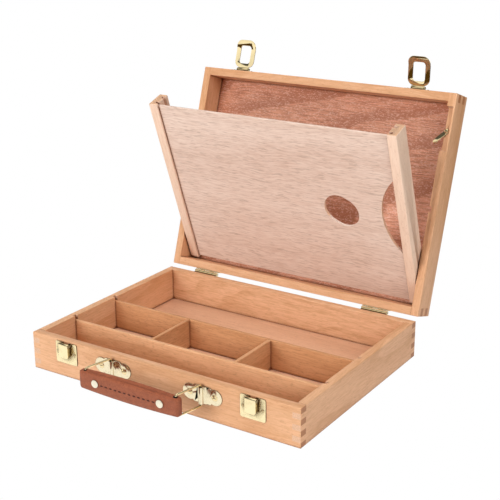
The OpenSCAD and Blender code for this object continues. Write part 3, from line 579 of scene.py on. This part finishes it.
def weigh_arrises(built, place, case):
    """Marks the outer arrises of a closed case for a full ease, and its long inner ones for less."""
    corners = [place @ v.co for node in case for v in frame["nodes"][node].data.vertices]
    low = [min(c[i] for c in corners) for i in range(3)]
    high = [max(c[i] for c in corners) for i in range(3)]
    weight = built.edges.layers.float.new("bevel_weight_edge")
    for edge in built.edges:
        if not edge.is_manifold or edge.calc_face_angle_signed(0) < math.radians(ARRIS_DEGREES):
            continue
        middle = place @ ((edge.verts[0].co + edge.verts[1].co) / 2)
        if outer_faces(low, high, middle) >= 2:
            edge[weight] = 1.0
        elif edge.calc_length() > LONG_ARRIS:
            edge[weight] = RIM_EASE / BOARD_EASE


def store_grain(mesh, place, along, cut):
    """Stores each corner's place in the plank, as (along the grain, across it, through it), and
    marks the faces that cut across the grain."""
    length, width = {"x": (0, 1), "y": (1, 0)}[along]
    grain = mesh.attributes.new("grain", "FLOAT_VECTOR", "POINT")
    for v in mesh.vertices:
        p = place @ v.co
        grain.data[v.index].vector = (p[length] + cut, p[width] + cut * CUT_ASIDE, p[2])
    ends = mesh.attributes.new("end_grain", "FLOAT", "FACE")
    turned = place.to_3x3()
    for face in mesh.polygons:
        ends.data[face.index].value = float(abs((turned @ face.normal)[length]) > END_GRAIN_FROM)


def eased_board(node, name, along, look, cut, case):
    """A board in place of its sharp CAD node. Its grain runs along x or y with the box shut, it is
    cut from its own part of the plank, and only the arrises outside its case are fully eased."""
    place = SHUT_PLACES.get(body_of[node], Matrix.Identity(4))
    built = clean_copy(node)
    weigh_arrises(built, place, case)
    board = piece_of(built, name)
    bevel = board.modifiers.new("eased", "BEVEL")
    bevel.limit_method = "WEIGHT"
    bevel.width = BOARD_EASE
    bevel.segments = EASE_SEGMENTS
    bevel.use_clamp_overlap = True
    apply_modifiers(board)
    store_grain(board.data, place, along, cut)
    smooth(board.data, BOARD_CREASE_DEGREES)
    finish_in(board.data, look)
    take_over(board, node)


BASE_BOARDS = {
    "base_front_wall": ("front_wall", "x", BEECH),
    "base_back_wall": ("back_wall", "x", BEECH_FLAME),
    "base_left_side": ("left_side", "y", BEECH_SIDE),
    "base_right_side": ("right_side", "y", BEECH_SIDE),
}
LID_BOARDS = {
    "lid_front_rail": ("front_rail", "x", BEECH),
    "lid_hinge_rail": ("hinge_rail", "x", BEECH),
    "lid_left_rail": ("lid_left", "y", BEECH_SIDE),
    "lid_right_rail": ("lid_right", "y", BEECH_SIDE),
}
boards_cut = 0
for case in (BASE_BOARDS, LID_BOARDS):
    for node, (name, along, look) in case.items():
        boards_cut += 1
        eased_board(node, name, along, look, CUT_STEP * boards_cut, case)


# ---- Dividers ----
# Thin beech strips that part the base into compartments. The two long ones drop into slots in the
# sides, and the short ones slot in between them. The front one is coloured paler than the rest.

DIVIDER_FIGURE = {"Bands per metre": 30.0, "Wander": 0.08, "Slant": 0.05, "Ripple": 0.002,
                  "Band depth": 0.42, "Fibre depth": 0.60, "Dash depth": 0.40, "Dash share": 0.0,
                  "Dashes per metre": 200.0}
DIVIDER_END = (0.36, 0.155, 0.070)
PALE_COLOURS = {"Light": (0.82, 0.48, 0.27), "Dark": (0.65, 0.34, 0.17), "Dash": (0.40, 0.18, 0.085)}
WARM_COLOURS = {"Light": (0.72, 0.385, 0.20), "Dark": (0.55, 0.265, 0.12), "Dash": (0.34, 0.145, 0.065)}
DIVIDER_FIRST_CUT = 5.31
DIVIDER_CUT_STEP = 0.71

PALE_STRIP = wood_material("divider_pale", PALE_COLOURS, DIVIDER_END, DIVIDER_FIGURE)
WARM_STRIP = wood_material("divider_warm", WARM_COLOURS, DIVIDER_END, DIVIDER_FIGURE)

for number, (node, name, along, look) in enumerate((
        ("front_divider", "long_strip_front", "x", PALE_STRIP),
        ("rear_divider", "long_strip_rear", "x", WARM_STRIP),
        ("cross_dividers", "cross_strips", "y", WARM_STRIP))):
    eased_board(node, name, along, look, DIVIDER_FIRST_CUT + DIVIDER_CUT_STEP * number, (node,))


# ---- Floor and lid panels ----
# Thin plywood, let into a rebate round the walls and glued. The floor's face veneer is a warm
# brown, and the lid's is redder, with slanting dark bands, pale flecks and a satin lacquer.

FLOOR_COLOURS = {"Light": (0.86, 0.55, 0.38), "Dark": (0.70, 0.40, 0.25), "Dash": (0.42, 0.20, 0.115)}
FLOOR_FIGURE = {"Bands per metre": 16.0, "Wander": 0.16, "Ripple": 0.003, "Band depth": 0.30,
                "Fibre depth": 0.50, "Dash depth": 0.30, "Dash share": 0.0, "Dashes per metre": 240.0}
FLOOR_END = (0.36, 0.19, 0.11)
FLOOR_CUT = 8.3
LID_COLOURS = {"Light": (0.84, 0.42, 0.28), "Dark": (0.48, 0.18, 0.10), "Dash": (0.98, 0.72, 0.61)}
LID_FIGURE = {"Bands per metre": 17.0, "Wander": 0.10, "Slant": 0.42, "Ripple": 0.004,
              "Band depth": 0.85, "Fibre depth": 0.80, "Dash depth": 0.42, "Dash share": 0.05,
              "Dashes per metre": 380.0}
LID_END = (0.44, 0.25, 0.15)
LID_CUT = 9.4

FLOOR_PLY = wood_material("floor_plywood", FLOOR_COLOURS, FLOOR_END, FLOOR_FIGURE, roughness=0.3, gloss=0.55)
LID_PLY = wood_material("lid_plywood", LID_COLOURS, LID_END, LID_FIGURE, roughness=0.44, gloss=1.0)

eased_board("base_floor", "floor_panel", "x", FLOOR_PLY, FLOOR_CUT, ("base_floor",))
eased_board("lid_panel", "lid_board", "x", LID_PLY, LID_CUT, ("lid_panel",))


# ---- Rack and palette ----
# Two rails of pale beech turn on pins in the lid, each with two grooves along its inner face. The
# palette is cut from pinkish plywood with a fine wavy grain, and slides in the front grooves.

RAIL_COLOURS = {"Light": (0.92, 0.70, 0.56), "Dark": (0.80, 0.55, 0.41), "Dash": (0.50, 0.28, 0.18)}
RAIL_FIGURE = {"Bands per metre": 30.0, "Wander": 0.03, "Ripple": 0.002, "Band depth": 0.28,
               "Fibre depth": 0.45, "Dash depth": 0.25, "Dash share": -0.02, "Dashes per metre": 240.0}
RAIL_END = (0.62, 0.38, 0.24)
RAIL_FIRST_CUT = 11.2
RAIL_CUT_STEP = 0.9
PALETTE_COLOURS = {"Light": (0.87, 0.71, 0.62), "Dark": (0.66, 0.46, 0.37), "Dash": (0.40, 0.25, 0.19)}
PALETTE_FIGURE = {"Bands per metre": 22.0, "Wander": 0.08, "Slant": 0.03, "Ripple": 0.008,
                  "Band depth": 0.14, "Fibre depth": 0.50, "Dash depth": 0.42, "Dash share": 0.02,
                  "Dashes per metre": 75.0}
PALETTE_END = (0.70, 0.46, 0.32)
PALETTE_CUT = 14.6

RAIL_WOOD = wood_material("rack_beech", RAIL_COLOURS, RAIL_END, RAIL_FIGURE)
PALETTE_PLY = wood_material(
    "palette_plywood", PALETTE_COLOURS, PALETTE_END, PALETTE_FIGURE, roughness=0.5, gloss=0.25)

for number, side in enumerate(("left", "right")):
    node = f"{side}_rack_rail"
    eased_board(node, f"rack_{side}", "y", RAIL_WOOD, RAIL_FIRST_CUT + RAIL_CUT_STEP * number, (node,))
eased_board("palette", "palette_board", "x", PALETTE_PLY, PALETTE_CUT, ("palette",))


# ---- Latches ----
# A plate on the base carries a lever, and a bracket on the lid carries the loop that the lever
# pulls down. All are pressed from sheet brass with broken edges, and polished.

BRASS_COLOUR = (0.93, 0.80, 0.50)
# The colour of tarnish on brass, and also of the shade painted into its creases
BRASS_TARNISH_AND_SHADE = (0.10, 0.05, 0.012)
BRASS_ROUGHNESS = 0.05
RUB_CELLS = (900, 900, 260)
RUB_ROUGHNESS = 0.06
TARNISH_CELLS = 120.0
TARNISH_EDGE = (0.45, 0.75)
TARNISH = 0.12
METAL_BUMP = (0.05, 0.0001)
# Painted shade in brass: how near another surface must be, and where the painted shade fades out
METAL_PAINTED_SHADE = {"Reach": 0.0022, "Closed": 0.45, "Open": 0.97}
# The plates lie in the shade of their levers, so the shade painted on them reaches further out
PLATE_LEVER_SHADOW = {"Reach": 0.009, "Closed": 0.76, "Open": 0.97}

SHEET_EASE = 0.00018
LEVER_EASE = 0.0004
LOOP_EASE = 0.0005
METAL_EASE_SEGMENTS = 2
METAL_EDGE_DEGREES = 40


def metal_wear_group():
    """Polished metal close up: faint rubbing, a little tarnish, and how rough it is."""
    group, given, made = new_group(
        "metal_wear",
        [("Place", "NodeSocketVector", None),
         ("Metal", "NodeSocketColor", (0.9, 0.8, 0.5, 1)),
         ("Roughness", "NodeSocketFloat", 0.05)],
        [("Colour", "NodeSocketColor"), ("Roughness", "NodeSocketFloat"), ("Height", "NodeSocketFloat")])
    place = given.outputs["Place"]
    rub = cloud(group, place, RUB_CELLS)
    dull = spread(group, cloud(group, place, TARNISH_CELLS), *TARNISH_EDGE)
    tarnished = blended(group, times(group, dull, TARNISH), given.outputs["Metal"], BRASS_TARNISH_AND_SHADE)
    feed(group, made.inputs["Colour"], tarnished)
    rubbed = times(group, rub, RUB_ROUGHNESS)
    feed(group, made.inputs["Roughness"], plus(group, rubbed, given.outputs["Roughness"]))
    feed(group, made.inputs["Height"], rub)
    return group


METAL_WEAR = metal_wear_group()


def metal_material(name, colour, roughness, painted_shade):
    """Worn metal, with shade painted into its creases."""
    made, tree, shader = new_material(name)
    place = place_from(tree, "Object")
    wear = placed(tree, METAL_WEAR, {"Place": place, "Metal": colour, "Roughness": roughness})
    metal_out_of_shade = placed(tree, PAINTED_SHADE_MASK, painted_shade)["Mask"]
    # Painted shade: the metal turns dark where another surface is near
    feed(tree, shader.inputs["Base Color"], blended(tree, metal_out_of_shade, BRASS_TARNISH_AND_SHADE, wear["Colour"]))
    feed(tree, shader.inputs["Metallic"], 1.0)
    feed(tree, shader.inputs["Roughness"], wear["Roughness"])
    add_bump(tree, shader, wear["Height"], *METAL_BUMP)
    return made


BRASS = metal_material("brass", BRASS_COLOUR, BRASS_ROUGHNESS, METAL_PAINTED_SHADE)
BRASS_PLATE = metal_material("brass_plate", BRASS_COLOUR, BRASS_ROUGHNESS, PLATE_LEVER_SHADOW)


def eased_metal(node, name, width, look):
    """A pressed piece in place of its CAD node, with every sharp edge broken."""
    piece = piece_of(clean_copy(node), name)
    bevel = piece.modifiers.new("broken edges", "BEVEL")
    bevel.limit_method = "ANGLE"
    bevel.angle_limit = math.radians(METAL_EDGE_DEGREES)
    bevel.width = width
    bevel.segments = METAL_EASE_SEGMENTS
    apply_modifiers(piece)
    smooth(piece.data, METAL_EDGE_DEGREES)
    finish_in(piece.data, look)
    take_over(piece, node)


for side in ("left", "right"):
    eased_metal(f"{side}_latch_plate", f"latch_plate_{side}", SHEET_EASE, BRASS_PLATE)
    eased_metal(f"{side}_latch_lever", f"latch_lever_{side}", LEVER_EASE, BRASS)
    eased_metal(f"{side}_latch_loop", f"latch_loop_{side}", LOOP_EASE, BRASS)
    eased_metal(f"{side}_loop_bracket", f"loop_bracket_{side}", SHEET_EASE, BRASS)


# ---- Handle brackets and rings ----
# Two pressed brass plates, each with a saddle that holds a ring of bent wire against the front
# wall. The plates are duller than the wire.

BRACKET_BRASS = (0.84, 0.74, 0.53)
BRACKET_ROUGHNESS = 0.16
# Painted shade: the bracket darkens further out round its saddle and ring
BRACKET_PAINTED_SHADE = {**METAL_PAINTED_SHADE, "Reach": 0.0035}
BRACKET_EASE = 0.0004
UNEASED_CREASE_DEGREES = 30

BRASS_BRACKET = metal_material("brass_bracket", BRACKET_BRASS, BRACKET_ROUGHNESS, BRACKET_PAINTED_SHADE)


def dress(node, look):
    """Gives a CAD node that stays as it is its material."""
    mesh = frame["nodes"][node].data
    finish_in(mesh, look)
    smooth(mesh, UNEASED_CREASE_DEGREES)


for side in ("left", "right"):
    eased_metal(f"{side}_handle_bracket", f"handle_bracket_{side}", BRACKET_EASE, BRASS_BRACKET)
    dress(f"{side}_handle_ring", BRASS)


# ---- Hinges and turn button ----
# Two brass butt hinges are screwed to the back of the base and of the lid. The turn button is a
# bent strip of brass that swings on one screw in a notch of the lid's right rail.

eased_metal("turn_button", "lid_button", SHEET_EASE, BRASS)
for node in ("hinge_base_leaves", "hinge_lid_leaves"):
    dress(node, BRASS)


# ---- Screws and pins ----
# Brass wood screws hold the hardware to the beech. Steel pins carry the hinges, levers and loops,
# and the rack turns on two more.

SCREW_BRASS = (0.86, 0.70, 0.42)
SCREW_ROUGHNESS = 0.2
PIN_STEEL = (0.62, 0.60, 0.56)
PIN_ROUGHNESS = 0.3

BRASS_SCREW = metal_material("brass_screw", SCREW_BRASS, SCREW_ROUGHNESS, METAL_PAINTED_SHADE)
STEEL_PIN = metal_material("steel_pin", PIN_STEEL, PIN_ROUGHNESS, METAL_PAINTED_SHADE)

for node, slot in slot_of.items():
    if slot == "brass_screw":
        dress(node, BRASS_SCREW)
    if slot == "steel_pin":
        dress(node, STEEL_PIN)


# ---- Leather grip ----
# A stuffed strap of tanned leather, sewn along its front with dark thread. Its round ends wrap the
# ring wires, which go up into a hole near each end, and a rivet closes each of them.

LEATHER_COLOUR = (0.385, 0.115, 0.052)
LEATHER_DARK = (0.15, 0.036, 0.018)
LEATHER_GLOSS = 0.4
LEATHER_BUMP = (0.25, 0.0002)
# Painted shade on leather and thread where another surface is near
LEATHER_PAINTED_SHADE = {"Reach": 0.004, "Closed": 0.45, "Open": 0.93}
HIDE_CELLS = 1400.0
HIDE_EDGE = (0.0, 0.12)
MOTTLE_CELLS = 160.0
MOTTLE_DETAIL = 4.0
MOTTLE_EDGE = (0.35, 0.7)
MOTTLE_DEPTH = 0.35
MOTTLE_HEIGHT = 0.5
STITCH_COLOUR = (0.045, 0.010, 0.008)
# Painted shade: the near-black of the discs that stand for the inside of each wire hole
HOLE_SHADOW_COLOUR = (0.012, 0.006, 0.005)
HOLE_SHADOW_DARK = (0.010, 0.005, 0.004)
RIVET_BRASS = (0.92, 0.86, 0.72)
# Painted shade: a thin dark rim round each rivet head
RIVET_PAINTED_SHADE = {**METAL_PAINTED_SHADE, "Reach": 0.0008}

# The strap: its rows of corners and how they crowd to the ends, and its rounded section
GRIP_STATIONS = 72
GRIP_ROUND = 40
STATION_CROWD = 1.6
SECTION_POWER = 0.36
END_ROUND = 0.0036
END_THIN = 0.16
GRIP_CREASE_DEGREES = 50
# The stuffing bows the front out, and the lower edge sags by this many times as much
GRIP_BOW = 0.0006
SAG = 3.5
# The seam along the top and the lower edge, and how far the back sheet stands above the front one
SEAM_DEPTH = 0.0026
SEAM_BEHIND = 0.1
SEAM_HALF = 0.32
BACK_RISE = 0.0026

STITCHES = 12
STITCH_SHARE = 0.33
STITCH_THICK = 0.0004
STITCH_HIGH = 0.0008
STITCH_SINK = 0.0001
STITCH_MARGIN = 0.001

# The wire turns in the left hole, and has some play in the right one
HOLE_RADII = {"left": 0.0018, "right": 0.0027}
HOLE_DEPTH = 0.0012
HOLE_BEHIND = 0.0003
HOLE_DOWN = 0.00045
HOLE_SPACING = joints["right_ring_hinge"]["pos_m"][0] - joints["handle_hinge"]["pos_m"][0]

RIVET_EASE = 0.0003


def leather_grain_group():
    """Tanned hide close up: small creased cells, and a soft mottle over them."""
    group, given, made = new_group(
        "leather_grain",
        [("Place", "NodeSocketVector", None),
         ("Hide", "NodeSocketColor", (0.4, 0.1, 0.05, 1)),
         ("Crease", "NodeSocketColor", (0.2, 0.05, 0.02, 1))],
        [("Colour", "NodeSocketColor"), ("Height", "NodeSocketFloat")])
    place, hide, dark = (given.outputs[label] for label in ("Place", "Hide", "Crease"))
    cells = group.nodes.new("ShaderNodeTexVoronoi")
    cells.feature = "DISTANCE_TO_EDGE"
    cells.inputs["Scale"].default_value = HIDE_CELLS
    group.links.new(place, cells.inputs["Vector"])
    raised = spread(group, cells.outputs["Distance"], *HIDE_EDGE)
    mottle = spread(group, cloud(group, place, MOTTLE_CELLS, MOTTLE_DETAIL), *MOTTLE_EDGE)
    worn = blended(group, times(group, mottle, MOTTLE_DEPTH), hide, dark)
    feed(group, made.inputs["Colour"], blended(group, raised, dark, worn))
    feed(group, made.inputs["Height"], plus(group, raised, times(group, mottle, MOTTLE_HEIGHT)))
    return group


LEATHER_GRAIN = leather_grain_group()


def leather_material(name, colour, dark, roughness):
    """Leather or thread, darker in its grain, with shade painted where pieces meet."""
    made, tree, shader = new_material(name)
    hide = placed(tree, LEATHER_GRAIN, {"Place": place_from(tree, "Object"), "Hide": colour, "Crease": dark})
    # Painted shade: the hide turns dark where another surface is near
    hide_out_of_shade = placed(tree, PAINTED_SHADE_MASK, LEATHER_PAINTED_SHADE)["Mask"]
    feed(tree, shader.inputs["Base Color"], blended(tree, hide_out_of_shade, dark, hide["Colour"]))
    feed(tree, shader.inputs["Roughness"], roughness)
    feed(tree, shader.inputs["Specular IOR Level"], LEATHER_GLOSS)
    add_bump(tree, shader, hide["Height"], *LEATHER_BUMP)
    return made


LEATHER = leather_material("leather", LEATHER_COLOUR, LEATHER_DARK, roughness=0.5)
THREAD = leather_material("stitch_thread", STITCH_COLOUR, STITCH_COLOUR, roughness=0.7)
HOLE_SHADOW = leather_material("wire_hole_shadow", HOLE_SHADOW_COLOUR, HOLE_SHADOW_DARK, roughness=0.9)
RIVET = metal_material("rivet", RIVET_BRASS, roughness=0.3, painted_shade=RIVET_PAINTED_SHADE)


def quarter_round(past):
    """How much of a quarter circle's height is left at a share of its width."""
    return math.sqrt(max(0.0, 1 - past ** 2))


def grip_section(t, half_thick, half_high, bow, groove, rise):
    """One point of the grip's section at an angle t: a soft rectangle whose seams are sunk and
    whose back sheet stands a little above the front one."""
    c, s = math.cos(t), math.sin(t)
    y = half_thick * math.copysign(abs(c) ** SECTION_POWER, c)
    z = half_high * math.copysign(abs(s) ** SECTION_POWER, s)
    if y < 0:
        y -= bow * (1 - (z / half_high) ** 2)
    if z > 0:
        z += rise * (0.5 + 0.5 * y / half_thick) * z / half_high
    if abs(y + half_thick * SEAM_BEHIND) < half_thick * SEAM_HALF:
        z -= math.copysign(groove, z)
    if z < 0:
        z -= SAG * bow * min(1.0, -z / half_high)
    return y, z


def build_grip():
    low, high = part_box("handle_grip")
    centre = (low + high) / 2
    half_long, half_high = (high.x - low.x) / 2, (high.z - low.z) / 2
    half_thick = (high.y - low.y) / 2 - GRIP_BOW
    built = bmesh.new()
    rows = []
    for i in range(GRIP_STATIONS + 1):
        u = -1 + 2 * i / GRIP_STATIONS
        ease = math.copysign(1 - (1 - abs(u)) ** STATION_CROWD, u)
        x = half_long * ease
        past_end = max(0.0, (abs(x) - (half_long - half_thick)) / half_thick)
        thin = max(END_THIN, quarter_round(past_end))
        past_corner = max(0.0, (abs(x) - (half_long - END_ROUND)) / END_ROUND)
        drop = END_ROUND * (1 - quarter_round(past_corner))
        bow = GRIP_BOW * (1 - ease ** 2)
        groove = SEAM_DEPTH * (1 - ease ** 4)
        rise = BACK_RISE * (1 - ease ** 2)
        row = []
        for k in range(GRIP_ROUND):
            t = 2 * math.pi * (k + 0.5) / GRIP_ROUND
            y, z = grip_section(t, half_thick * thin, half_high - drop, bow, groove, rise)
            row.append(built.verts.new(centre + Vector((x, y, z))))
        rows.append(row)
    for a, b in zip(rows, rows[1:]):
        for k in range(GRIP_ROUND):
            n = (k + 1) % GRIP_ROUND
            built.faces.new((a[k], b[k], b[n], a[n]))
    built.faces.new(rows[0])
    built.faces.new(list(reversed(rows[-1])))
    bmesh.ops.recalc_face_normals(built, faces=built.faces)
    grip = piece_of(built, "grip_leather")
    smooth(grip.data, GRIP_CREASE_DEGREES)
    finish_in(grip.data, LEATHER)
    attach(grip, "handle_grip")
    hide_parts("handle_grip")


def build_stitches():
    """Short sunk stitches along the grip's front, from one rivet to the other."""
    low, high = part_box("handle_grip")
    rivets_low, rivets_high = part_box("grip_rivets")
    clear = rivets_high.z - rivets_low.z + STITCH_MARGIN
    start, end = rivets_low.x + clear, rivets_high.x - clear
    middle_x, middle_z = (low.x + high.x) / 2, (low.z + high.z) / 2
    pitch = (end - start) / STITCHES
    built = bmesh.new()
    for i in range(STITCHES):
        x = start + (i + 0.5) * pitch
        ease = (x - middle_x) / ((high.x - low.x) / 2)
        at = (x, low.y + GRIP_BOW * ease ** 2 + STITCH_SINK, middle_z - GRIP_BOW * (1 - ease ** 2))
        stitch = bmesh.ops.create_uvsphere(built, u_segments=10, v_segments=6, radius=1.0)
        bmesh.ops.scale(built, vec=(pitch * STITCH_SHARE, STITCH_THICK, STITCH_HIGH), verts=stitch["verts"])
        bmesh.ops.translate(built, vec=at, verts=stitch["verts"])
    stitches = piece_of(built, "grip_stitches")
    finish_in(stitches.data, THREAD)
    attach(stitches, "handle_grip")


def build_wire_hole_shadows():
    """Dark discs at the mouths of the holes that the ring wires go up through, one near each end: painted
    shade for the inside of each hole.
    """
    low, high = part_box("handle_grip")
    left_x = joints["grip_hinge"]["pos_m"][0]
    built = bmesh.new()
    for side, x in (("left", left_x), ("right", left_x + HOLE_SPACING)):
        radius = HOLE_RADII[side]
        mouth = bmesh.ops.create_cone(
            built, cap_ends=True, segments=24, radius1=radius, radius2=radius, depth=HOLE_DEPTH)
        at = (x, (low.y + high.y) / 2 + HOLE_BEHIND, high.z - HOLE_DOWN)
        bmesh.ops.translate(built, vec=at, verts=mouth["verts"])
    hole_shadows = piece_of(built, "wire_hole_shadows")
    finish_in(hole_shadows.data, HOLE_SHADOW)
    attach(hole_shadows, "handle_grip")


build_grip()
build_stitches()
build_wire_hole_shadows()
eased_metal("grip_rivets", "rivet_heads", RIVET_EASE, RIVET)
